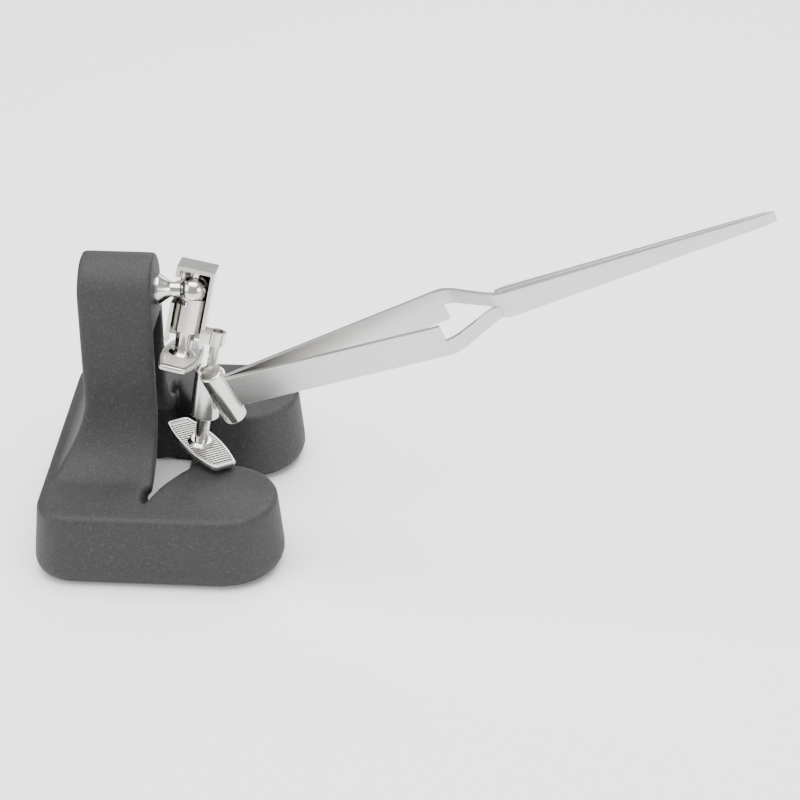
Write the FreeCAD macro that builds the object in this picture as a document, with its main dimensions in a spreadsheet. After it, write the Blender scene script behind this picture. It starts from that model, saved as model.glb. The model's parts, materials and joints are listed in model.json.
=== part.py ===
import FreeCAD
import Part
import Sketcher
import math
import os

# A bench holder for soldering and model making: cross-lock tweezers on a double-jointed swivel arm,
# carried by a heavy cast base. Millimetres, +Z up. The origin is on the base's flat underside, on the
# bar behind the column and half-way across; +X points from the column towards the tweezers' tips.

doc = FreeCAD.newDocument("third_hand")
sheet = doc.addObject("Spreadsheet::Sheet", "dims")

SIZES = {
    # cast base: a U-shaped foot with a hollow column at the root of the U; its own zero along x is
    # in the hollow of the column, origin_back in front of the object's origin
    "origin_back": 27.5,
    "base_height": 22.2,
    "foot_reach": 30.9,
    "foot_spacing": 55.5,
    "foot_radius": 15.3,
    "base_back": 35.6,
    "back_corner": 11.5,
    "draft_angle": 5.5,
    "mouth_depth": 10.2,
    "edge_break": 0.9,
    "web_height": 6.0,
    "web_front": 1.0,
    "lower_round": 5.0,
    "column_front": 4.8,
    "column_back": 25.4,
    "column_half": 10.2,
    "stud_height": 71.2,
    "flare_top": 41.0,
    "flare_half": 25.0,
    "flare_back": 33.0,
    "casting_wall": 3.2,
    "head_depth": 10.5,
    # column stud
    "shank_radius": 2.5,
    "shank_length": 12.0,
    "shank_fit": 0.05,
    "flange_radius": 4.37,
    "flange_thick": 1.3,
    "cone_length": 3.0,
    "neck_radius": 2.15,
    "stud_reach": 10.7,
    "upper_ball": 4.2,
    # pose of the arm
    "arm_swing": -11.8,
    "arm_tilt": 11.0,
    # upper clamp
    "ball_gap": 0.12,
    "strap_thick": 1.05,
    "strap_front": 3.6,
    "strap_top": 7.0,
    "strap_length": 15.5,
    "seat_radius": 1.6,
    "slot_room": 0.5,
    "slot_rise": 2.4,
    "web_half": 1.6,
    "barrel_over_ball": 0.25,
    "barrel_top": 1.7,
    "barrel_length": 9.9,
    "counterbore_depth": 4.8,
    "screw_radius": 2.0,
    "screw_fit": 0.06,
    "pad_radius": 2.9,
    "pad_fit": 0.1,
    "pad_depth": 6.0,
    "ball_fit": 0.05,
    "end_gap": 0.3,
    "stem_radius": 2.9,
    "stem_end_radius": 2.2,
    "collar_radius": 3.9,
    "collar_height": 0.9,
    "upper_drop": 19.0,
    # thumb plates
    "plate_length": 26.0,
    "plate_width": 11.4,
    "plate_end": 6.8,
    "plate_thick": 1.5,
    "plate_round": 1.6,
    "rib_pitch": 1.0,
    "rib_depth": 0.2,
    "rib_gap": 0.45,
    "rib_margin": 0.9,
    "upper_plate_turn": 86.0,
    "lower_plate_turn": -49.0,
    # second joint
    "elbow_right": 9.0,
    "elbow_back": -2.1,
    "elbow_drop": 23.1,
    "lower_swing": -1.2,
    "lower_tilt": 9.0,
    "lug_right": 9.0,
    "lug_drop": 13.6,
    "lower_ball": 3.1,
    "lower_neck": 1.5,
    "lug_radius": 2.4,
    "lug_height": 4.0,
    "socket_wall": 1.0,
    "socket_top": 1.6,
    "socket_length": 12.6,
    "plug_length": 3.4,
    "lower_pad_depth": 4.8,
    "lower_screw_radius": 1.8,
    "lower_stem_radius": 2.0,
    "lower_stem_end_radius": 1.95,
    "lower_drop": 22.0,
    # tweezers
    "tweezers_right": 7.373,
    "tweezers_front": 5.456,
    "tweezers_drop": 0.952,
    "tweezers_pitch": 21.1,
    "tweezers_yaw": 2.1,
    "tweezers_roll": 9.8,
    "reach": 157.0,
    "strip_width": 10.4,
    "strip_thick": 1.2,
    "arm_spread": 7.4,
    "bow_end": 64.5,
    "cross_length": 14.5,
    "notch_lead": 1.5,
    "jaw_thick": 1.7,
    "jaw_tip_thick": 0.9,
    "jaw_width": 8.6,
    "tip_width": 3.1,
    "jaw_gap": 0.08,
    "half_gap": 0.5,
    "tang_length": 5.0,
    "root_gap": 0.15,
    "root_spread": 0.2,
    "holder_radius": 3.35,
    "holder_set_back": 0.05,
    "holder_above": 2.9,
    "holder_tail": 4.1,
    "holder_round": 0.6,
    "boss_radius": 2.4,
}
for row, (name, value) in enumerate(SIZES.items(), start=1):
    sheet.set("A%d" % row, name)
    sheet.set("B%d" % row, str(value))
    sheet.setAlias("B%d" % row, name)
doc.recompute()

PARTS = []


def size(name):
    return float(sheet.get(name))


def bind(thing, **links):
    """Tie properties of an object to formulas over the size sheet."""
    for prop, formula in links.items():
        thing.setExpression(prop.replace("__", "."), formula)
    return thing


def evaluate(formula):
    """Number that a formula over the sheet gives now."""
    return float(sheet.evalExpression(formula))


def cylinder(name, radius, length, place=None):
    shape = doc.addObject("Part::Cylinder", name)
    bind(shape, Radius=radius, Height=length)
    return put(shape, place)


def cone(name, low, high, length, place=None):
    shape = doc.addObject("Part::Cone", name)
    bind(shape, Radius1=low, Radius2=high, Height=length)
    return put(shape, place)


def ball(name, radius, place=None):
    shape = doc.addObject("Part::Sphere", name)
    bind(shape, Radius=radius)
    return put(shape, place)


def box(name, length, width, height, place=None):
    shape = doc.addObject("Part::Box", name)
    bind(shape, Length=length, Width=width, Height=height)
    return put(shape, place)


def put(shape, place):
    """Place a primitive in its sub-part's frame; place is (x, y, z formulas, turn about Y)."""
    if place:
        east, north, up = place[:3]
        if len(place) > 3:
            shape.Placement = FreeCAD.Placement(FreeCAD.Vector(), FreeCAD.Rotation(*place[3]))
        bind(shape, Placement__Base__x=east, Placement__Base__y=north, Placement__Base__z=up)
    return shape


def fuse(name, *shapes):
    union = doc.addObject("Part::MultiFuse", name)
    union.Shapes = list(shapes)
    union.Refine = True
    return union


def cut(name, base, tool):
    difference = doc.addObject("Part::Cut", name)
    difference.Base = base
    difference.Tool = tool
    return difference


def common(name, *shapes):
    overlap = doc.addObject("Part::MultiCommon", name)
    overlap.Shapes = list(shapes)
    return overlap


def keep(shape, label, place=FreeCAD.Placement()):
    """Name a finished sub-part and set it in the object's frame."""
    shape.Label = label
    shift = FreeCAD.Placement(FreeCAD.Vector(size("origin_back"), 0, 0), FreeCAD.Rotation())
    shape.Placement = shift.multiply(place)
    PARTS.append(shape)


def new_body(name):
    return doc.addObject("PartDesign::Body", name)


def plane(body, role):
    return next(f for f in body.Origin.OriginFeatures if f.Role == role)


def sketch_on(body, name, role, offset=None):
    drawing = body.newObject("Sketcher::SketchObject", name)
    drawing.AttachmentSupport = [(plane(body, role), "")]
    drawing.MapMode = "FlatFace"
    if offset:
        bind(drawing, AttachmentOffset__Base__z=offset)
    return drawing


def outline(drawing, points):
    """Closed outline. A point is (x, y) formulas, or (x, y, radius, side) where the edge that leads
    to it is an arc of that radius, bulging to the side (+1 left of the way, -1 right of it)."""
    corners = [FreeCAD.Vector(evaluate(p[0]), evaluate(p[1]), 0) for p in points]
    count = len(points)
    for index, point in enumerate(points):
        start = corners[index - 1]
        end = corners[index]
        if len(point) == 2:
            drawing.addGeometry(Part.LineSegment(start, end), False)
            continue
        chord = end - start
        half = chord.Length / 2
        radius = max(evaluate(point[2]), half)
        rise = radius - math.sqrt(max(radius ** 2 - half ** 2, 0))
        normal = FreeCAD.Vector(-chord.y, chord.x, 0).normalize()
        middle = (start + end) * 0.5 + normal * rise * point[3]
        ends = (start, end) if point[3] < 0 else (end, start)
        drawing.addGeometry(Part.Arc(ends[0], middle, ends[1]), False)
    for index, point in enumerate(points):
        ends = joined(drawing, index, (index + 1) % count)
        drawing.addConstraint(Sketcher.Constraint("Coincident", index, ends[0], (index + 1) % count, ends[1]))
    for index, point in enumerate(points):
        last = 2 if end_is_second(drawing, index, corners[index]) else 1
        for kind, formula, value in (("DistanceX", point[0], corners[index].x),
                                     ("DistanceY", point[1], corners[index].y)):
            number = drawing.addConstraint(Sketcher.Constraint(kind, -1, 1, index, last, value))
            drawing.setExpression("Constraints[%d]" % number, formula)
        if len(point) > 2 and evaluate(point[2]) > (corners[index] - corners[index - 1]).Length / 2 + 0.001:
            number = drawing.addConstraint(Sketcher.Constraint("Radius", index, evaluate(point[2])))
            drawing.setExpression("Constraints[%d]" % number, point[2])


def end_is_second(drawing, index, corner):
    edge = drawing.Geometry[index]
    return (edge.EndPoint - corner).Length < (edge.StartPoint - corner).Length


def joined(drawing, one, two):
    """Which ends of two edges meet: 1 is an edge's start, 2 its end."""
    first = drawing.Geometry[one]
    second = drawing.Geometry[two]
    pairs = [(i, j) for i in (1, 2) for j in (1, 2)]
    tips = {1: "StartPoint", 2: "EndPoint"}
    return min(pairs, key=lambda p: (getattr(first, tips[p[0]]) - getattr(second, tips[p[1]])).Length)


def prism(name, role, points, length, midplane=False, taper=None, offset=None):
    """A body of one padded outline."""
    body = new_body(name)
    drawing = sketch_on(body, name + "_outline", role, offset)
    outline(drawing, points)
    pad = body.newObject("PartDesign::Pad", name + "_pad")
    pad.Profile = drawing
    bind(pad, Length=length)
    if midplane:
        pad.SideType = "Symmetric"
    if taper:
        bind(pad, TaperAngle=taper)
    return body


def mirrored(points):
    """Close a half outline, listed from its first to its last corner on the +x side, about x = 0."""
    back = []
    for index in range(len(points) - 1, -1, -1):
        east, north = points[index][:2]
        curve = points[index + 1][2:] if index + 1 < len(points) else ()
        back.append(("-(%s)" % east, north) + tuple(curve))
    return points + back


# --- cast base ---------------------------------------------------------------------------------

def base_slab():
    """U-shaped foot with drafted sides, a broken top edge and a rounded lower edge."""
    grown = "(dims.foot_radius + dims.base_height * tan(dims.draft_angle))"
    outer = "(dims.foot_spacing / 2 + %s)" % grown
    inner = "(dims.foot_spacing / 2 - %s)" % grown
    back = "(dims.base_back + dims.base_height * tan(dims.draft_angle))"
    centre = "(dims.foot_reach - dims.foot_radius)"
    mouth = "(dims.mouth_depth - dims.column_front)"
    corner = "dims.back_corner"
    slab = prism("base_slab", "XY_Plane", [
        ("-" + back, "-(%s - %s)" % (outer, corner)),
        ("%s - %s" % (corner, back), "-" + outer, corner, -1),
        (centre, "-" + outer),
        (centre, "-" + inner, grown, -1),
        (mouth, "-" + inner),
        ("-dims.column_front", "-dims.flare_half", "2 * dims.flare_half", -1),
        ("-dims.column_front", "dims.flare_half"),
        (mouth, inner, "2 * dims.flare_half", -1),
        (centre, inner),
        (centre, outer, grown, -1),
        ("%s - %s" % (corner, back), outer),
        ("-" + back, "%s - %s" % (outer, corner), corner, -1),
    ], "dims.base_height", taper="-dims.draft_angle")
    doc.recompute()
    dress(slab, "PartDesign::Fillet", "Radius", "dims.lower_round", 0)
    dress(slab, "PartDesign::Fillet", "Radius", "dims.edge_break", size("base_height"))
    return slab


def root_web():
    """Low web that joins the two feet in front of the column."""
    length = "dims.column_front + dims.web_front + 1"
    return box("root_web", length, "2 * dims.flare_half + 2", "dims.web_height",
               ("-dims.column_front - 1", "-dims.flare_half - 1", "0"))


def dress(body, kind, prop, formula, level):
    """Fillet or chamfer the edges of a body's flat face at one height."""
    faces = [i for i, f in enumerate(body.Shape.Faces, start=1)
             if f.BoundBox.ZLength < 0.001 and abs(f.CenterOfMass.z - level) < 0.001]
    before = body.Tip
    feature = body.newObject(kind, "%s_edge_%d" % (body.Name, level))
    feature.Base = (before, ["Face%d" % i for i in faces])
    bind(feature, **{prop: formula})
    doc.recompute()


def flared_outline(inset, foot, top):
    """Front view of the column, or of the hollow inside it when inset by the wall."""
    half = "(dims.column_half - %s)" % inset
    flare = "(dims.flare_half - %s)" % inset
    start = "(dims.flare_top - %s)" % inset
    floor = "(dims.base_height - %s)" % inset
    run = "(dims.flare_half - dims.column_half)"
    rise = "(dims.flare_top - dims.base_height)"
    sweep = "(%s * %s + %s * %s) / (2 * %s)" % (run, run, rise, rise, run)
    return [
        (flare, foot),
        (flare, floor),
        (half, start, sweep, 1),
        (half, top),
    ]


def column():
    front = flared_outline("0", "dims.base_height - dims.casting_wall", "dims.stud_height")
    face = mirrored(front)
    face[4] = face[4] + ("dims.column_half", -1)
    seen_front = prism("column_front_view", "YZ_Plane", face, "2 * dims.flare_back", midplane=True)
    run = "(dims.flare_back - dims.column_back)"
    rise = "(dims.flare_top - dims.base_height)"
    low = "dims.base_height - dims.casting_wall"
    crown = "dims.stud_height + 2 * dims.column_half"
    seen_side = prism("column_side_view", "XZ_Plane", [
        ("-dims.column_front", low),
        ("-dims.column_front", crown),
        ("-dims.column_back", crown),
        ("-dims.column_back", "dims.flare_top"),
        ("-dims.flare_back", "dims.base_height", "(%s^2 + %s^2) / (2 * %s)" % (run, rise, run), 1),
        ("-dims.flare_back", low),
    ], "2 * dims.flare_half + 2", midplane=True)
    return common("column", seen_front, seen_side)


def column_hollow():
    """Space inside the casting, open to the front and to the floor."""
    inside = mirrored(flared_outline("dims.casting_wall", "-1", "dims.stud_height - dims.head_depth"))
    depth = "dims.column_back - dims.casting_wall"
    return prism("column_hollow", "YZ_Plane", inside, "(%s)" % depth, offset="-(%s)" % depth)


def along_x(x, up):
    """Place for a turned piece whose axis lies along +X."""
    return (x, "0", up, (FreeCAD.Vector(0, 1, 0), 90))


def stud():
    """Turned stud: shank, flange, cone, neck and ball, along +X."""
    face = "(-dims.column_front)"
    reach = "(dims.stud_reach - dims.flange_thick)"
    up = "dims.stud_height"
    shank = cylinder("shank", "dims.shank_radius", "dims.shank_length",
                     along_x("%s - dims.shank_length" % face, up))
    flange = cylinder("flange", "dims.flange_radius", "dims.flange_thick", along_x(face, up))
    taper = cone("taper", "dims.flange_radius", "dims.neck_radius", "dims.cone_length",
                 along_x("%s + dims.flange_thick" % face, up))
    neck = cylinder("neck", "dims.neck_radius", reach, along_x("%s + dims.flange_thick" % face, up))
    end = ball("upper_ball", "dims.upper_ball", ("%s + dims.stud_reach" % face, "0", up))
    return fuse("stud", shank, flange, taper, neck, end)


# --- upper clamp: its own frame has the ball's centre as origin and the screw along -Z -----------

def neck_slot(name):
    """Room for the stud's neck through the left side and the front, over the arm's tilt."""
    out = "(dims.upper_ball + dims.ball_gap + dims.strap_thick)"
    half = "(dims.neck_radius + dims.slot_room)"
    return box(name, out, "dims.strap_front + %s + 1" % half, "2 * %s + dims.slot_rise" % half,
               ("-%s - 0.5" % out, "-dims.strap_front - 1", "-%s - dims.slot_rise / 2" % half))


def cage(neck_turn, neck_from):
    """Strap bent round the ball, with a back, an open front, a slot for the column stud's neck
    and a bored lug for the lower stud, which starts at neck_from and leans by neck_turn."""
    room = "(dims.upper_ball + dims.ball_gap)"
    wall = "dims.strap_thick"
    out = "(%s + %s)" % (room, wall)
    shell = box("cage_shell", "2 * %s" % out, "dims.strap_front + %s" % out,
                "dims.strap_length + dims.strap_top",
                ("-%s" % out, "-dims.strap_front", "-dims.strap_length"))
    space = box("cage_space", "2 * %s" % room, "dims.strap_front + %s + 1" % room,
                "dims.strap_length + dims.strap_top - %s + 1" % wall,
                ("-%s" % room, "-dims.strap_front - 1", "-dims.strap_length - 1"))
    seat = cylinder("ball_seat", "dims.seat_radius", "dims.strap_top - %s / 2" % wall, ("0", "0", "0"))
    socket = ball("seat_hollow", room)
    strap = cut("cage_strap", cut("cage_open", shell, space), neck_slot("cage_slot"))
    lug = cylinder("elbow_lug", "dims.lug_radius", "dims.lug_height",
                   ("dims.lug_right", "dims.elbow_back", "-dims.lug_drop"))
    web = box("elbow_web", "dims.lug_right - %s" % room, "2 * dims.web_half", "dims.lug_height",
              (room, "dims.elbow_back - dims.web_half", "-dims.lug_drop"))
    bore = cylinder("lug_bore", "dims.lower_neck + dims.shank_fit", "2 * dims.elbow_drop")
    bore.Placement = FreeCAD.Placement(neck_from, neck_turn)
    solid = fuse("cage_solid", strap, cut("seat", seat, socket), lug, web)
    return cut("cage", solid, fuse("cage_spaces", bore, barrel_blank("cage_barrel")))


def barrel_blank(name):
    return cylinder(name, "dims.upper_ball + dims.barrel_over_ball", "dims.barrel_length",
                    ("0", "0", "-(dims.barrel_top + dims.barrel_length)"))


def barrel():
    """Round nut brazed in the cage, with a counterbore for the pressure pad."""
    bore = cylinder("barrel_bore", "dims.screw_radius + dims.screw_fit", "2 * dims.barrel_length",
                    ("0", "0", "-2 * dims.barrel_length"))
    counterbore = cylinder("barrel_counterbore", "dims.pad_radius + dims.pad_fit",
                           "dims.barrel_top + dims.counterbore_depth",
                           ("0", "0", "-(dims.barrel_top + dims.counterbore_depth)"))
    hollow = ball("barrel_cup", "dims.upper_ball + dims.ball_gap")
    inside = fuse("barrel_inside", bore, counterbore, hollow, neck_slot("barrel_slot"))
    return cut("barrel", barrel_blank("barrel_body"), inside)


def pad(name, radius, depth, sphere):
    """Cupped disc between a screw's end and a ball."""
    disc = cylinder(name + "_disc", radius, "%s - %s / 2" % (depth, sphere), ("0", "0", "-(%s)" % depth))
    return cut(name, disc, ball(name + "_cup", "%s + dims.ball_fit" % sphere))


def screw_stem(name, nut_end, stem_top, stem_end, drop):
    return cone(name, stem_end, stem_top, "%s - %s - dims.end_gap" % (drop, nut_end),
                ("0", "0", "-(%s)" % drop))


def thumb_screw(name, radius, top, nut_end, *stem_sizes):
    """Threaded rod with a stem below the nut; the finger plate is brazed under its end."""
    rod = cylinder(name + "_rod", radius, "%s - %s + dims.end_gap" % (nut_end, top),
                   ("0", "0", "-(%s + dims.end_gap)" % nut_end))
    return fuse(name, rod, screw_stem(name + "_stem", nut_end, *stem_sizes))


def collar(name, nut_end, *stem_sizes):
    """Brazing ring round the stem, on the plate."""
    ring = cone(name + "_ring", "dims.collar_radius", "dims.collar_radius - dims.collar_height",
                "dims.collar_height", ("0", "0", "-(%s)" % stem_sizes[-1]))
    return cut(name, ring, screw_stem(name + "_hole", nut_end, *stem_sizes))


def thumb_plate(name, drop):
    """Oval finger plate with straight ends, rounded corners and ribs across both faces."""
    half = "dims.plate_length / 2"
    end = "dims.plate_end / 2"
    bulge = "(dims.plate_width / 2 - %s)" % end
    sweep = "((%s)^2 + %s^2) / (2 * %s)" % (half, bulge, bulge)
    plate = prism(name, "XY_Plane", [
        (half, end),
        ("-" + half, end, sweep, -1),
        ("-" + half, "-" + end),
        (half, "-" + end, sweep, -1),
    ], "dims.plate_thick", offset="-(%s) - dims.plate_thick" % drop)
    doc.recompute()
    tall = 0.9 * size("plate_thick")
    uprights = [i for i, e in enumerate(plate.Shape.Edges, start=1) if e.BoundBox.ZLength > tall]
    pad = plate.Tip
    corners = plate.newObject("PartDesign::Fillet", name + "_corners")
    corners.Base = (pad, ["Edge%d" % i for i in uprights])
    bind(corners, Radius="dims.plate_round")
    grooves = []
    count = int((size("plate_length") - 2 * size("rib_margin")) / size("rib_pitch"))
    for index in range(count):
        along = "%g * dims.rib_pitch - dims.rib_gap / 2" % (index - (count - 1) / 2)
        for face in ("dims.rib_depth", "dims.plate_thick"):
            grooves.append(box("%s_groove" % name, "dims.rib_gap", "dims.plate_width - 2 * dims.rib_margin",
                               "dims.rib_depth", (along, "dims.rib_margin - dims.plate_width / 2",
                                                  "-(%s) - %s" % (drop, face))))
    return cut(name + "_ribbed", plate, fuse(name + "_grooves", *grooves))


# --- second joint: its frame has the lower ball's centre as origin, the screw along -Z -----------

def lower_stud(length, turn):
    """Ball and neck that hang from the cage's lug."""
    neck = cylinder("lower_neck", "dims.lower_neck", "0")
    neck.setExpression("Height", None)
    neck.Height = length
    neck.Placement.Rotation = turn
    return fuse("lower_stud", ball("lower_ball", "dims.lower_ball"), neck)


def socket():
    """Turned cup over the lower ball, open below for the plug."""
    room = "(dims.lower_ball + dims.ball_gap)"
    body = cylinder("socket_body", "%s + dims.socket_wall" % room, "dims.socket_top + dims.socket_length",
                    ("0", "0", "-dims.socket_length"))
    bore = cylinder("socket_bore", room, "dims.socket_length + 1", ("0", "0", "-dims.socket_length - 1"))
    return cut("socket", body, fuse("socket_inside", bore, ball("socket_seat", room)))


def plug():
    """Threaded plug that closes the cup and guides the screw."""
    low = ("0", "0", "-dims.socket_length")
    body = cylinder("plug_body", "dims.lower_ball + dims.ball_gap", "dims.plug_length", low)
    bore = cylinder("plug_bore", "dims.lower_screw_radius + dims.screw_fit", "dims.plug_length", low)
    return cut("plug", body, bore)


# --- tweezers: their frame starts at the mid-width of the strips' rear end, +X to the tips --------

def arm(name, side, half):
    """One spring arm. side is the side its bow lies on; half is the half of the width that its
    crossing strip keeps (+1 the upper half, -1 the lower)."""
    bow = "%d * " % side
    inner = "dims.jaw_gap"
    plan = [
        ("dims.root_gap", bow + "dims.root_spread / 2"),
        ("dims.bow_end", bow + "dims.arm_spread"),
        ("dims.bow_end + dims.cross_length", bow + "-(%s + dims.jaw_thick)" % inner),
        ("dims.reach", bow + "-(%s + dims.jaw_tip_thick)" % inner),
        ("dims.reach", bow + "-%s" % inner),
        ("dims.bow_end + dims.cross_length - dims.strip_thick / 3", bow + "-%s" % inner),
        ("dims.bow_end + dims.strip_thick / 3", bow + "(dims.arm_spread + dims.strip_thick)"),
        ("dims.root_gap", bow + "(dims.root_spread / 2 + dims.strip_thick)"),
    ]
    keep_half = "%d * " % half
    back = "dims.bow_end + dims.cross_length"
    side_view = [
        ("dims.root_gap", keep_half + "dims.strip_width / 2"),
        ("dims.bow_end", keep_half + "dims.strip_width / 2"),
        (back, keep_half + "dims.jaw_width / 2"),
        ("dims.reach", keep_half + "dims.tip_width / 2"),
        ("dims.reach", keep_half + "-dims.tip_width / 2"),
        (back, keep_half + "-dims.jaw_width / 2"),
        (back, keep_half + "dims.half_gap / 2"),
        ("dims.bow_end - dims.notch_lead", keep_half + "dims.half_gap / 2"),
        ("dims.bow_end - dims.notch_lead", keep_half + "-dims.strip_width / 2"),
        ("dims.root_gap", keep_half + "-dims.strip_width / 2"),
    ]
    seen_above = prism(name + "_plan", "XY_Plane", plan, "2 * dims.strip_width", midplane=True)
    seen_side = prism(name + "_side", "XZ_Plane", side_view, "4 * dims.arm_spread", midplane=True)
    return common(name, seen_above, seen_side)


def tang(name):
    """Joined rear ends of the two strips, brazed in the holder's slit."""
    deep = "(2 * dims.strip_thick + dims.root_spread)"
    return prism(name, "XY_Plane", [
        ("0", "-%s / 2" % deep),
        ("0", "%s / 2" % deep),
        ("-dims.tang_length", "%s / 2" % deep),
        ("-dims.tang_length", "-%s / 2" % deep),
    ], "dims.strip_width", midplane=True)


def holder(boss, around):
    """Round bar that carries the tweezers in a slit, with a boss brazed to the socket."""
    centre = ("-dims.holder_radius - dims.holder_set_back", "0", "-dims.strip_width / 2 - dims.holder_tail")
    length = "dims.strip_width + dims.holder_above + dims.holder_tail"
    bar = cylinder("holder_bar", "dims.holder_radius", length, centre)
    rounded = doc.addObject("Part::Fillet", "holder_rounded")
    rounded.Base = bar
    doc.recompute()
    rims = [i for i, e in enumerate(bar.Shape.Edges, start=1) if e.BoundBox.ZLength < 0.001]
    rounded.Edges = [(i, size("holder_round"), size("holder_round")) for i in rims]
    solid = cut("holder_at_socket", fuse("holder_with_boss", rounded, boss), around)
    return cut("holder", solid, tang("holder_slit"))


# --- assembly -----------------------------------------------------------------------------------

stud_solid = stud()
bore = cylinder("stud_bore", "dims.shank_radius + dims.shank_fit", "dims.shank_length + 2",
                along_x("-dims.column_front - dims.shank_length", "dims.stud_height"))
casting_solid = fuse("casting_solid", base_slab(), column(), root_web())
casting = cut("casting", casting_solid, fuse("casting_spaces", column_hollow(), bore))
keep(casting, "base_casting")
keep(stud_solid, "column_stud")

upper_ball_centre = FreeCAD.Vector(size("stud_reach") - size("column_front"), 0, size("stud_height"))
lean = FreeCAD.Rotation(FreeCAD.Vector(1, 0, 0), size("arm_swing"))
tilt = FreeCAD.Rotation(FreeCAD.Vector(0, 1, 0), size("arm_tilt"))
clamp_turn = lean.multiply(tilt)
upper_place = FreeCAD.Placement(upper_ball_centre, clamp_turn)
elbow = FreeCAD.Vector(size("elbow_right"), size("elbow_back"), -size("elbow_drop"))
stud_place = FreeCAD.Placement(upper_place.multVec(elbow), clamp_turn)
lower_lean = FreeCAD.Rotation(FreeCAD.Vector(1, 0, 0), size("lower_swing"))
lower_tilt = FreeCAD.Rotation(FreeCAD.Vector(0, 1, 0), size("lower_tilt"))
lower_place = FreeCAD.Placement(upper_place.multVec(elbow), lower_lean.multiply(lower_tilt))


def turned(place, angle):
    """The same place, with the piece turned about the screw's axis."""
    turn = FreeCAD.Rotation(FreeCAD.Vector(0, 0, 1), angle)
    return place.multiply(FreeCAD.Placement(FreeCAD.Vector(), turn))


lug_offset = FreeCAD.Vector(size("lug_right") - size("elbow_right"), 0, size("elbow_drop") - size("lug_drop"))
neck_turn = FreeCAD.Rotation(FreeCAD.Vector(0, 0, 1), lug_offset)
neck_length = lug_offset.Length + size("lug_height") / 2
upper_stem = ("(dims.barrel_top + dims.barrel_length)", "dims.stem_radius", "dims.stem_end_radius",
              "dims.upper_drop")
keep(cage(neck_turn, elbow), "upper_cage", upper_place)
keep(barrel(), "upper_barrel_nut", upper_place)
upper_pad = pad("upper_pad", "dims.pad_radius", "dims.pad_depth", "dims.upper_ball")
keep(upper_pad, "upper_pressure_pad", upper_place)
keep(thumb_screw("upper_screw", "dims.screw_radius", "dims.pad_depth", *upper_stem), "upper_thumb_screw",
     upper_place)
keep(collar("upper_collar", *upper_stem), "upper_plate_collar", upper_place)
upper_plate_place = turned(upper_place, size("upper_plate_turn"))
keep(thumb_plate("upper_plate", "dims.upper_drop"), "upper_thumb_plate", upper_plate_place)

lower_stem = ("dims.socket_length", "dims.lower_stem_radius", "dims.lower_stem_end_radius", "dims.lower_drop")
keep(lower_stud(neck_length, neck_turn), "lower_ball_stud", stud_place)
keep(socket(), "lower_socket", lower_place)
keep(plug(), "lower_socket_plug", lower_place)
keep(pad("lower_pad", "dims.lower_ball", "dims.lower_pad_depth", "dims.lower_ball"), "lower_pressure_pad",
     lower_place)
keep(thumb_screw("lower_screw", "dims.lower_screw_radius", "dims.lower_pad_depth", *lower_stem),
     "lower_thumb_screw", lower_place)
keep(collar("lower_collar", *lower_stem), "lower_plate_collar", lower_place)
lower_plate_place = turned(lower_place, size("lower_plate_turn"))
keep(thumb_plate("lower_plate", "dims.lower_drop"), "lower_thumb_plate", lower_plate_place)

rear_offset = FreeCAD.Vector(size("tweezers_right"), -size("tweezers_front"), -size("tweezers_drop"))
rear = lower_place.Base + rear_offset
tweezers_place = FreeCAD.Placement(rear, FreeCAD.Rotation(size("tweezers_yaw"), -size("tweezers_pitch"),
                                                         size("tweezers_roll")))
bar_centre = FreeCAD.Vector(-size("holder_radius") - size("holder_set_back"), 0, 0)
to_socket = tweezers_place.inverse().multiply(lower_place)
axis = to_socket.Rotation.multVec(FreeCAD.Vector(0, 0, 1))
arrow = to_socket.Base - bar_centre
arrow = arrow - axis * arrow.dot(axis)
boss = doc.addObject("Part::Cylinder", "boss")
bind(boss, Radius="dims.boss_radius")
boss.Height = arrow.Length
boss.Placement = FreeCAD.Placement(bar_centre, FreeCAD.Rotation(FreeCAD.Vector(0, 0, 1), arrow))
around = cylinder("around_socket", "dims.lower_ball + dims.ball_gap + dims.socket_wall",
                  "4 * dims.socket_length")
around.Placement = to_socket.multiply(FreeCAD.Placement(FreeCAD.Vector(0, 0, -2 * size("socket_length")),
                                                        FreeCAD.Rotation()))
keep(holder(boss, around), "tweezers_holder", tweezers_place)
keep(tang("tang"), "tweezers_rear_joint", tweezers_place)
keep(arm("near_arm", -1, -1), "near_arm", tweezers_place)
keep(arm("far_arm", 1, 1), "far_arm", tweezers_place)

doc.recompute()
for thing in doc.Objects:
    if "Invalid" in thing.State or "Error" in thing.State:
        raise RuntimeError("%s failed: %s" % (thing.Label, thing.State))
os.makedirs("parts", exist_ok=True)
for piece in PARTS:
    if piece.Shape.isNull() or not piece.Shape.isValid():
        raise RuntimeError(piece.Label + " has no valid shape")
for piece in PARTS:
    piece.Shape.exportStep(os.path.join("parts", piece.Label + ".step"))
    print(piece.Label, len(piece.Shape.Solids), round(piece.Shape.Volume, 1))
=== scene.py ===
import json
import math

import bmesh
import bpy
from mathutils import Matrix, Vector


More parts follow.
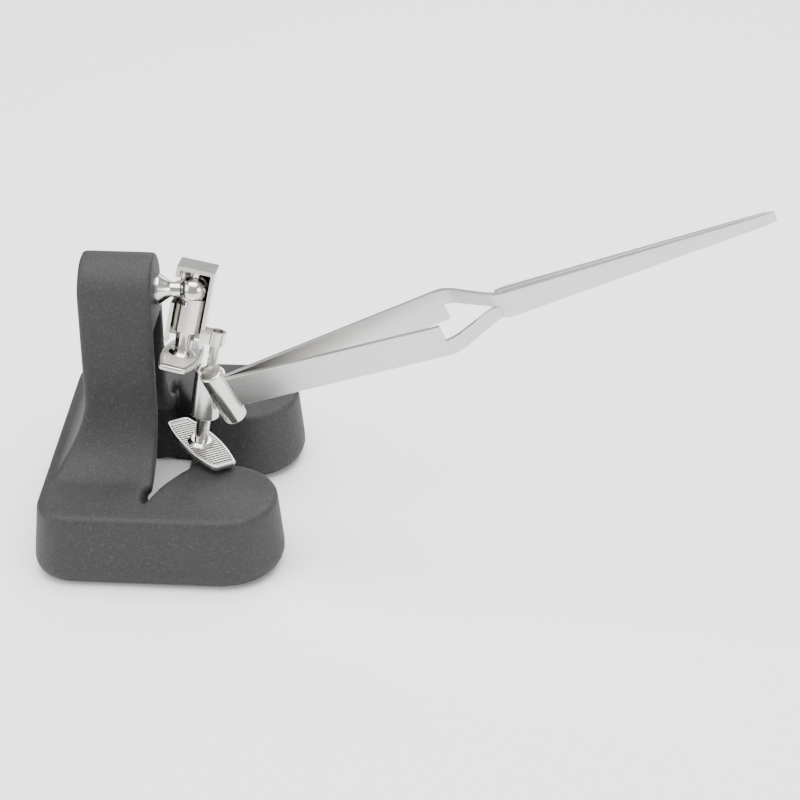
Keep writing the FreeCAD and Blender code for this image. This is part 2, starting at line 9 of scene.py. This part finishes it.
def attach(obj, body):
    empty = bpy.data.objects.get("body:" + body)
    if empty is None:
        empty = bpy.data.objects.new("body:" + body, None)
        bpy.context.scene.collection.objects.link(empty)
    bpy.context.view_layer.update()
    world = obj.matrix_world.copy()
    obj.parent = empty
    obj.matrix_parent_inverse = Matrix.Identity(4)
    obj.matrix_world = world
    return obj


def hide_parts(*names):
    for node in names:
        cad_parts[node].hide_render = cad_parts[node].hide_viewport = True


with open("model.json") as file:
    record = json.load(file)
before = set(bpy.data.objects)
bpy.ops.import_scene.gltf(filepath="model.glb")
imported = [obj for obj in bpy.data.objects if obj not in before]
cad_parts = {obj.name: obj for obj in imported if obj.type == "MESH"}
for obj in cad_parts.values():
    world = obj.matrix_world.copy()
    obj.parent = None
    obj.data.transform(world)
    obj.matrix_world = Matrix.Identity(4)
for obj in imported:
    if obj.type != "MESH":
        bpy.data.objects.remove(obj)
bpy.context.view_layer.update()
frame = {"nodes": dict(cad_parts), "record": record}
joints = {joint["name"]: joint for joint in frame["record"]["behaviour"]["joints"]}
bodyOf = {node: body for body, nodes in frame["record"]["behaviour"]["bodies"].items() for node in nodes}


class Socket:
    # a node's output that can be used in sums; numbers and other sockets both work
    def __init__(self, tree, output):
        self.tree = tree
        self.output = output

    def maths(self, operation, *values):
        return self.tree.add("ShaderNodeMath", {"operation": operation}, dict(enumerate(values)))

    def __add__(self, other):
        return self.maths("ADD", self, other)

    def __mul__(self, other):
        return self.maths("MULTIPLY", self, other)

    __radd__ = __add__
    __rmul__ = __mul__

    def ramp(self, low, high):
        # 0 below low, 1 above high
        return self.tree.add("ShaderNodeMapRange", {"clamp": True},
                             {"Value": self, "From Min": low, "From Max": high})


class Finish:
    # a material on one Principled shader
    def __init__(self, name, **constants):
        self.material = bpy.data.materials.new(name)
        self.material.use_nodes = True
        self.nodes = self.material.node_tree.nodes
        self.links = self.material.node_tree.links
        self.shader = self.nodes["Principled BSDF"]
        for socket, value in constants.items():
            self.shader.inputs[socket.replace("_", " ")].default_value = value

    def add(self, kind, settings=None, values=None):
        node = self.nodes.new(kind)
        for name, value in (settings or {}).items():
            setattr(node, name, value)
        for name, value in (values or {}).items():
            self.feed(node.inputs[name], value)
        shown = [output for output in node.outputs if output.enabled]
        return Socket(self, shown[0])

    def feed(self, target, value):
        if isinstance(value, Socket):
            self.links.new(value.output, target)
        else:
            target.default_value = value

    def place(self, stretch=(1, 1, 1), turn=(0, 0, 0)):
        # the piece's own coordinates in metres, turned and then stretched
        spot = self.add("ShaderNodeTexCoord")
        spot.output = spot.output.node.outputs["Object"]
        return self.add("ShaderNodeMapping", {"vector_type": "TEXTURE"},
                        {"Vector": spot, "Rotation": turn, "Scale": [1 / part for part in stretch]})

    def noise(self, scale, detail=3.0, roughness=0.55, at=None):
        return self.add("ShaderNodeTexNoise", {}, {"Vector": at or self.place(), "Scale": scale,
                                                   "Detail": detail, "Roughness": roughness})

    def blendColour(self, amount, first, second):
        # inputs 0, 6 and 7 are the factor and the two colours
        return self.add("ShaderNodeMix", {"data_type": "RGBA"}, {0: amount, 6: first, 7: second})

    def colour(self, value):
        self.feed(self.shader.inputs["Base Color"], value)

    def gloss(self, value):
        self.feed(self.shader.inputs["Roughness"], value)

    def bump(self, height, strength, distance):
        lift = self.add("ShaderNodeBump", {}, {"Height": height, "Strength": strength, "Distance": distance})
        self.feed(self.shader.inputs["Normal"], lift)


def blackWrinkle():
    finish = Finish("blackWrinklePaint", Metallic=0.0, Specular_IOR_Level=0.42)
    grain = finish.noise(1500, 4, 0.65)
    lumps = finish.noise(420, 3, 0.5)
    cloud = finish.noise(34, 3, 0.5)
    chips = finish.noise(900, 2, 0.5).ramp(0.71, 0.75) * finish.noise(60, 2, 0.5).ramp(0.52, 0.66)
    dark = finish.blendColour(cloud, (0.0105, 0.0108, 0.0113, 1), (0.024, 0.0245, 0.0255, 1))
    speckled = finish.blendColour(grain.ramp(0.5, 0.78) * 0.5, dark, (0.075, 0.076, 0.08, 1))
    finish.colour(finish.blendColour(chips * 0.55, speckled, (0.2, 0.2, 0.2, 1)))
    finish.gloss(0.5 + cloud * 0.16 + grain * 0.08)
    finish.bump(grain * 0.6 + lumps * 0.4, 0.85, 0.00035)
    return finish.material


def nickelPlate():
    finish = Finish("polishedNickel", Metallic=1.0)
    smear = finish.noise(130, 4, 0.6)
    wave = finish.noise(300, 2, 0.5)
    finish.colour(finish.blendColour(smear, (0.56, 0.545, 0.515, 1), (0.74, 0.725, 0.69, 1)))
    finish.gloss(0.11 + smear * 0.13)
    finish.bump(wave, 0.12, 0.0001)
    return finish.material


def ribbedNickel(name, low, high):
    finish = Finish(name, Metallic=1.0)
    smear = finish.noise(160, 4, 0.6)
    finish.colour(finish.blendColour(smear, low, high))
    finish.gloss(0.2 + smear * 0.16)
    return finish.material


def satinSteel(turn):
    finish = Finish("satinSteel", Metallic=1.0)
    along = finish.place((1, 26, 26), turn)
    lines = finish.noise(60, 5, 0.6, along)
    broad = finish.noise(42, 3, 0.5)
    tone = lines * 0.6 + broad * 0.4
    finish.colour(finish.blendColour(tone, (0.46, 0.45, 0.44, 1), (0.66, 0.655, 0.64, 1)))
    finish.gloss(0.2 + lines * 0.14 + broad * 0.08)
    finish.bump(lines, 0.12, 0.00008)
    return finish.material


def cornersSmoothed(mesh, degrees):
    for face in mesh.polygons:
        face.use_smooth = True
    mesh.set_sharp_from_angle(angle=math.radians(degrees))


def settle(name, shape, material, body, nodes, bevel=0.0, segments=2, degrees=35):
    # turn a bmesh into a piece that rides on a body and stands for CAD nodes
    mesh = bpy.data.meshes.new(name)
    shape.to_mesh(mesh)
    shape.free()
    cornersSmoothed(mesh, degrees)
    piece = bpy.data.objects.new(name, mesh)
    bpy.context.collection.objects.link(piece)
    piece.data.materials.append(material)
    if bevel:
        edge = piece.modifiers.new("edges", "BEVEL")
        edge.width = bevel
        edge.segments = segments
        edge.limit_method = "ANGLE"
        edge.angle_limit = math.radians(degrees)
        edge.harden_normals = True
    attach(piece, body)
    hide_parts(*nodes)
    return piece


def mergedCopy(node):
    # the CAD node's surface as one connected mesh with its flat faces joined
    shape = bmesh.new()
    shape.from_mesh(frame["nodes"][node].data)
    bmesh.ops.remove_doubles(shape, verts=shape.verts, dist=0.000002)
    bmesh.ops.dissolve_limit(shape, angle_limit=math.radians(0.4), verts=shape.verts, edges=shape.edges)
    return shape


def hardware(node, material, bevel):
    piece = settle(node + "Look", mergedCopy(node), material, bodyOf[node], [node], bevel)
    return piece


tweezers = {
    "reach": 0.157,
    "width": 0.0104,
    "thick": 0.0012,
    "bow": 0.0074,
    "bowEnd": 0.0645,
    "crossEnd": 0.079,
    "notch": 0.063,
    "jawThick": 0.0017,
    "tipThick": 0.0009,
    "tipEdge": 0.0003,
    "jawWidth": 0.0086,
    "tipWidth": 0.0031,
    "jawGap": 0.00008,
    "halfGap": 0.0005,
    "rootGap": 0.00015,
    "rootSpread": 0.0001,
    "bevelLength": 0.0034,
    "bend": 0.0032,
    "bendRun": 0.01,
    "tipBend": 0.0005,
    "step": 0.0012,
    "edge": 0.00016,
    "turn": (9.8, -21.1, 2.1),
}


def tweezersFrame():
    # x runs to the tips, z across the strips' width, from the hinge line at the strips' rear end
    roll, pitch, yaw = [math.radians(part) for part in tweezers["turn"]]
    turn = Matrix.Rotation(yaw, 4, "Z") @ Matrix.Rotation(pitch, 4, "Y") @ Matrix.Rotation(roll, 4, "X")
    hinge = Vector(joints["near_arm_squeeze"]["pos_m"])
    return Matrix.Translation(hinge) @ turn @ Matrix.Translation((-tweezers["rootGap"], 0, 0))


def rounded(x, corners, bend):
    # height at x of a line through the corners, with each inner corner rounded over 2 * bend
    for index in range(1, len(corners) - 1):
        (x0, y0), (x1, y1), (x2, y2) = corners[index - 1:index + 2]
        if abs(x - x1) < bend:
            before = (y1 - y0) / (x1 - x0)
            after = (y2 - y1) / (x2 - x1)
            run = x - x1 + bend
            return y1 - before * bend + before * run + (after - before) * run * run / (4 * bend)
    for (x0, y0), (x1, y1) in zip(corners, corners[1:]):
        if x <= x1:
            return y0 + (y1 - y0) * (x - x0) / (x1 - x0)
    return corners[-1][1]


def strip(arm, side, half, material):
    # one spring arm: its side view is cut in slices, then bent to its line and given its thickness
    t = tweezers
    wide = t["width"] / 2
    outline = [
        (t["rootGap"], wide), (t["notch"], wide), (t["bowEnd"], wide), (t["crossEnd"], t["jawWidth"] / 2),
        (t["reach"], t["tipWidth"] / 2), (t["reach"], -t["tipWidth"] / 2),
        (t["crossEnd"], -t["jawWidth"] / 2), (t["crossEnd"], t["halfGap"] / 2),
        (t["notch"], t["halfGap"] / 2), (t["notch"], -wide), (t["rootGap"], -wide),
    ]
    shape = bmesh.new()
    verts = [shape.verts.new((x, 0, z * half)) for x, z in outline if (x, z) != (t["notch"], wide)]
    shape.faces.new(verts)
    slices = int(t["reach"] / t["step"])
    for index in range(1, slices):
        bmesh.ops.bisect_plane(shape, geom=shape.verts[:] + shape.edges[:] + shape.faces[:], dist=1e-7,
                               plane_co=(index * t["step"], 0, 0), plane_no=(1, 0, 0))
    under = shape.verts[:]
    made = bmesh.ops.extrude_face_region(shape, geom=shape.faces[:])["geom"]
    over = [item for item in made if isinstance(item, bmesh.types.BMVert)]
    ground = t["reach"] - t["bevelLength"]
    inner = [(t["rootGap"], t["rootSpread"]), (t["bowEnd"], t["bow"]),
             (t["crossEnd"], -t["jawGap"] - t["jawThick"]),
             (ground, -t["jawGap"] - t["tipThick"]), (t["reach"], -t["jawGap"] - t["tipEdge"])]
    outer = [(t["rootGap"], t["rootSpread"] + t["thick"]),
             (t["bowEnd"] + t["thick"] / 3, t["bow"] + t["thick"]),
             (t["crossEnd"] - t["thick"] / 3, -t["jawGap"]), (t["reach"], -t["jawGap"])]
    for layer, line in ((under, inner), (over, outer)):
        for vert in layer:
            bend = t["bend"] if vert.co.x < t["crossEnd"] + t["bendRun"] else t["tipBend"]
            vert.co.y = side * rounded(vert.co.x, line, bend)
    bmesh.ops.recalc_face_normals(shape, faces=shape.faces)
    bmesh.ops.transform(shape, matrix=tweezersFrame(), verts=shape.verts)
    piece = settle(arm + "Strip", shape, material, bodyOf[arm], [arm], t["edge"], 2, 32)
    return piece


plate = {
    "length": 0.026,
    "width": 0.0114,
    "end": 0.0068,
    "thick": 0.0015,
    "corner": 0.0016,
    "sides": 18,
    "cornerSteps": 5,
    "rim": 0.0008,
    "recess": 0.0003,
    "pitch": 0.001,
    "rib": 0.00048,
    "ribClear": 0.00015,
    "recessWall": 0.00015,
    "endClear": 0.0024,
    "edge": 0.00035,
}


def halfWidth(x):
    # the plate's half width at x along its length, on the arc of its long side
    half = plate["length"] / 2
    bulge = (plate["width"] - plate["end"]) / 2
    sweep = (half * half + bulge * bulge) / (2 * bulge)
    return math.sqrt(sweep * sweep - x * x) - sweep + plate["width"] / 2


def plateFrame(node, joint):
    # z along the screw, x along the plate's length, at the plate's upper face
    corners = frame["nodes"][node].data.vertices
    axis = Vector(joints[joint]["axis"]).normalized()
    start = Vector(joints[joint]["pos_m"])
    top = max((vert.co - start).dot(axis) for vert in corners)
    centre = start + axis * top
    far = max((vert.co - centre for vert in corners),
              key=lambda reach: (reach - axis * reach.dot(axis)).length)
    ends = [vert.co - centre for vert in corners if (vert.co - centre).length > far.length * 0.93]
    ends = [reach if reach.dot(far) > 0 else -reach for reach in ends]
    along = sum(ends, Vector())
    along = (along - axis * along.dot(axis)).normalized()
    across = axis.cross(along)
    turn = Matrix((along, across, axis)).transposed().to_4x4()
    return Matrix.Translation(centre) @ turn


def plateOutline():
    # bowed long sides, with each end corner rounded
    p = plate
    start = p["length"] / 2 - p["corner"]
    side = [(-start + 2 * start * index / p["sides"]) for index in range(p["sides"] + 1)]
    flat = halfWidth(start) - p["corner"]
    turns = [math.radians(90 * index / p["cornerSteps"]) for index in range(1, p["cornerSteps"] + 1)]
    corner = [(start + p["corner"] * math.sin(turn), flat + p["corner"] * math.cos(turn)) for turn in turns]
    quarter = [(x, halfWidth(x)) for x in side if x >= 0] + corner
    half = quarter + [(x, -y) for x, y in reversed(quarter)]
    return half + [(-x, -y) for x, y in half if x > 1e-9]


def fingerPlate(name, node, joint, material, paintedValleyShade):
    p = plate
    shape = bmesh.new()
    ring = plateOutline()
    shape.faces.new([shape.verts.new((x, y, 0)) for x, y in ring])
    made = bmesh.ops.extrude_face_region(shape, geom=shape.faces[:])["geom"]
    bmesh.ops.translate(shape, vec=(0, 0, -p["thick"]),
                        verts=[item for item in made if isinstance(item, bmesh.types.BMVert)])
    bmesh.ops.recalc_face_normals(shape, faces=shape.faces)
    rims = [edge for edge in shape.edges if edge.calc_face_angle(0) > 1.2]
    bmesh.ops.bevel(shape, geom=rims, offset=p["edge"], segments=3, profile=0.5, affect="EDGES", material=-1)
    broad = [face for face in shape.faces if abs(face.normal.z) > 0.99 and face.calc_area() > 0.0001]
    for face in broad:
        down = -face.normal * p["recess"]
        for inset in (p["rim"] - p["edge"], p["recessWall"]):
            bmesh.ops.inset_region(shape, faces=[face], thickness=inset, use_even_offset=True)
        bmesh.ops.translate(shape, vec=down, verts=face.verts)
        # the recessed floor takes the second material, a darker nickel that paints the shade in the hollows
        # between the ribs
        face.material_index = 1
    count = int((p["length"] - 2 * p["endClear"]) / p["pitch"]) + 1
    for index in range(count):
        x = (index - (count - 1) / 2) * p["pitch"]
        reach = halfWidth(abs(x) + p["rib"]) - p["rim"] - p["ribClear"]
        for level in (-p["recess"] / 2, p["recess"] / 2 - p["thick"]):
            rib = bmesh.ops.create_cube(shape, size=1)["verts"]
            bmesh.ops.scale(shape, vec=(p["rib"], 2 * reach, p["recess"] * 1.02), verts=rib)
            bmesh.ops.translate(shape, vec=(x, 0, level), verts=rib)
    bmesh.ops.transform(shape, matrix=plateFrame(node, joint), verts=shape.verts)
    piece = settle(name, shape, material, bodyOf[node], [node], 0.00012, 2, 50)
    piece.data.materials.append(paintedValleyShade)
    return piece


casting = {"grain": 0.0008, "rounds": 10, "strength": 0.5}


def castBase(material):
    shape = bmesh.new()
    shape.from_mesh(frame["nodes"]["base_casting"].data)
    bmesh.ops.remove_doubles(shape, verts=shape.verts, dist=0.000002)
    piece = settle("castBase", shape, material, "base", ["base_casting"])
    grain = piece.modifiers.new("cast", "REMESH")
    grain.mode = "VOXEL"
    grain.voxel_size = casting["grain"]
    grain.use_smooth_shade = True
    soft = piece.modifiers.new("soft", "SMOOTH")
    soft.factor = casting["strength"]
    soft.iterations = casting["rounds"]
    return piece


softEdges = {
    "column_stud": 0.00022,
    "upper_cage": 0.00028,
    "upper_barrel_nut": 0.00022,
    "upper_pressure_pad": 0.0001,
    "upper_thumb_screw": 0.0002,
    "upper_plate_collar": 0.0001,
    "lower_ball_stud": 0.0001,
    "lower_socket": 0.0004,
    "lower_socket_plug": 0.00012,
    "lower_pressure_pad": 0.0001,
    "lower_thumb_screw": 0.0002,
    "lower_plate_collar": 0.0001,
    "tweezers_holder": 0.0005,
}


view = {
    "eye": (0.1405, -0.6388, 0.4335),
    "aim": (0.09385, -0.04071, 0.06268),
    "roll": -0.45,
    "lens": 119.7,
    "floor": 3.0,
    "floorColour": (1.0, 1.0, 1.0, 1),
    "air": 0.62,
}

lamps = {
    "overhead": {"at": (0.05, -0.05, 0.9), "size": 0.9, "power": 19.0},
    "leftSoft": {"at": (-0.75, -0.45, 0.5), "size": 0.6, "power": 6.0},
    "rightStrip": {"at": (0.7, -0.5, 0.35), "size": 0.35, "power": 3.0},
    "backStrip": {"at": (0.25, 0.8, 0.55), "size": 0.5, "power": 4.5},
}


def studio():
    shape = bmesh.new()
    bmesh.ops.create_grid(shape, x_segments=1, y_segments=1, size=view["floor"])
    mesh = bpy.data.meshes.new("floor")
    shape.to_mesh(mesh)
    shape.free()
    floor = bpy.data.objects.new("floor", mesh)
    bpy.context.collection.objects.link(floor)
    paper = Finish("paleFloor", Roughness=0.75, Specular_IOR_Level=0.2)
    paper.colour(view["floorColour"])
    floor.data.materials.append(paper.material)
    world = bpy.data.worlds.new("studioAir")
    world.use_nodes = True
    air = world.node_tree.nodes["Background"]
    air.inputs["Color"].default_value = (1, 1, 1, 1)
    air.inputs["Strength"].default_value = view["air"]
    bpy.context.scene.world = world
    for name, lamp in lamps.items():
        light = bpy.data.lights.new(name, "AREA")
        light.energy = lamp["power"]
        light.size = lamp["size"]
        holder = bpy.data.objects.new(name, light)
        holder.location = lamp["at"]
        away = Vector(lamp["at"]) - Vector((0.06, 0, 0.05))
        holder.rotation_euler = away.to_track_quat("Z", "Y").to_euler()
        bpy.context.collection.objects.link(holder)


def camera():
    lens = bpy.data.cameras.new("camera")
    lens.lens = view["lens"]
    lens.sensor_width = 36
    eye = bpy.data.objects.new("camera", lens)
    away = Vector(view["eye"]) - Vector(view["aim"])
    roll = Matrix.Rotation(math.radians(view["roll"]), 4, "Z")
    turn = away.to_track_quat("Z", "Y").to_matrix().to_4x4() @ roll
    eye.matrix_world = Matrix.Translation(view["eye"]) @ turn
    bpy.context.collection.objects.link(eye)
    bpy.context.scene.camera = eye


blackPaint = blackWrinkle()
nickel = nickelPlate()
ribbed = ribbedNickel("ribbedNickel", (0.52, 0.51, 0.485, 1), (0.72, 0.705, 0.67, 1))
# a much darker nickel for the ribbed plates' recessed floors: painted shade between the ribs, not a real
# colour of the plating
paintedValleyShade = ribbedNickel("ribValleysPaintedShade", (0.16, 0.155, 0.145, 1), (0.28, 0.27, 0.255, 1))
steel = satinSteel([math.radians(part) for part in tweezers["turn"]])
print("finishes made")

castBase(blackPaint)
print("base made")

for side, arm in ((-1, "near_arm"), (1, "far_arm")):
    strip(arm, side, side, steel)
hardware("tweezers_rear_joint", steel, 0.0001)
print("tweezers made")

for node, bevel in softEdges.items():
    hardware(node, nickel, bevel)
fingerPlate("upperPlate", "upper_thumb_plate", "upper_screw_turn", ribbed, paintedValleyShade)
fingerPlate("lowerPlate", "lower_thumb_plate", "lower_screw_turn", ribbed, paintedValleyShade)
print("arm made")

studio()
camera()
bpy.context.view_layer.update()
